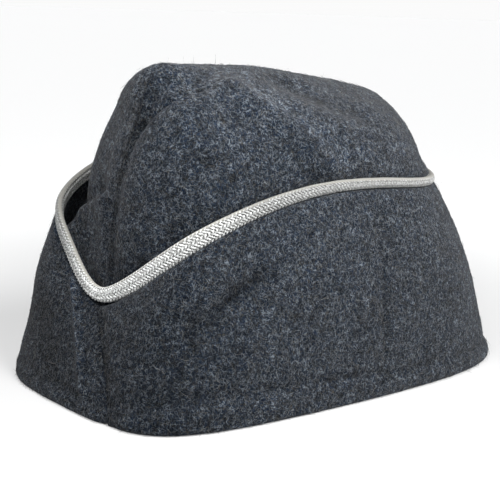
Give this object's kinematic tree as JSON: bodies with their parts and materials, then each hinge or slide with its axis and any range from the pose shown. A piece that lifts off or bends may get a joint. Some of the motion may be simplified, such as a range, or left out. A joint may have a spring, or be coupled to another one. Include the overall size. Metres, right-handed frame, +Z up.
{
  "type": "side cap",
  "caption": "Soft wool side cap with a ridged crown of two side panels, and a turned-up band that dips to a V at the front and is edged with pale braided piping.",
  "frame": {"origin": "middle of the rim, on the surface that the cap rests on", "axes": "+Z up, -Y towards the front of the cap, +X towards the wearer's left"},
  "size_m": [0.1585, 0.1931, 0.1245],
  "materials": {
    "wool": "felted blue-grey melange wool, matt, with short pale surface fibres",
    "piping": "flat tube braided from silver-white thread, soft sheen"
  },
  "bodies": {
    "root": {"crown_left": "wool", "crown_right": "wool", "turn_up_left": "wool", "turn_up_right": "wool", "piping": "piping"}
  },
  "joints": []
}
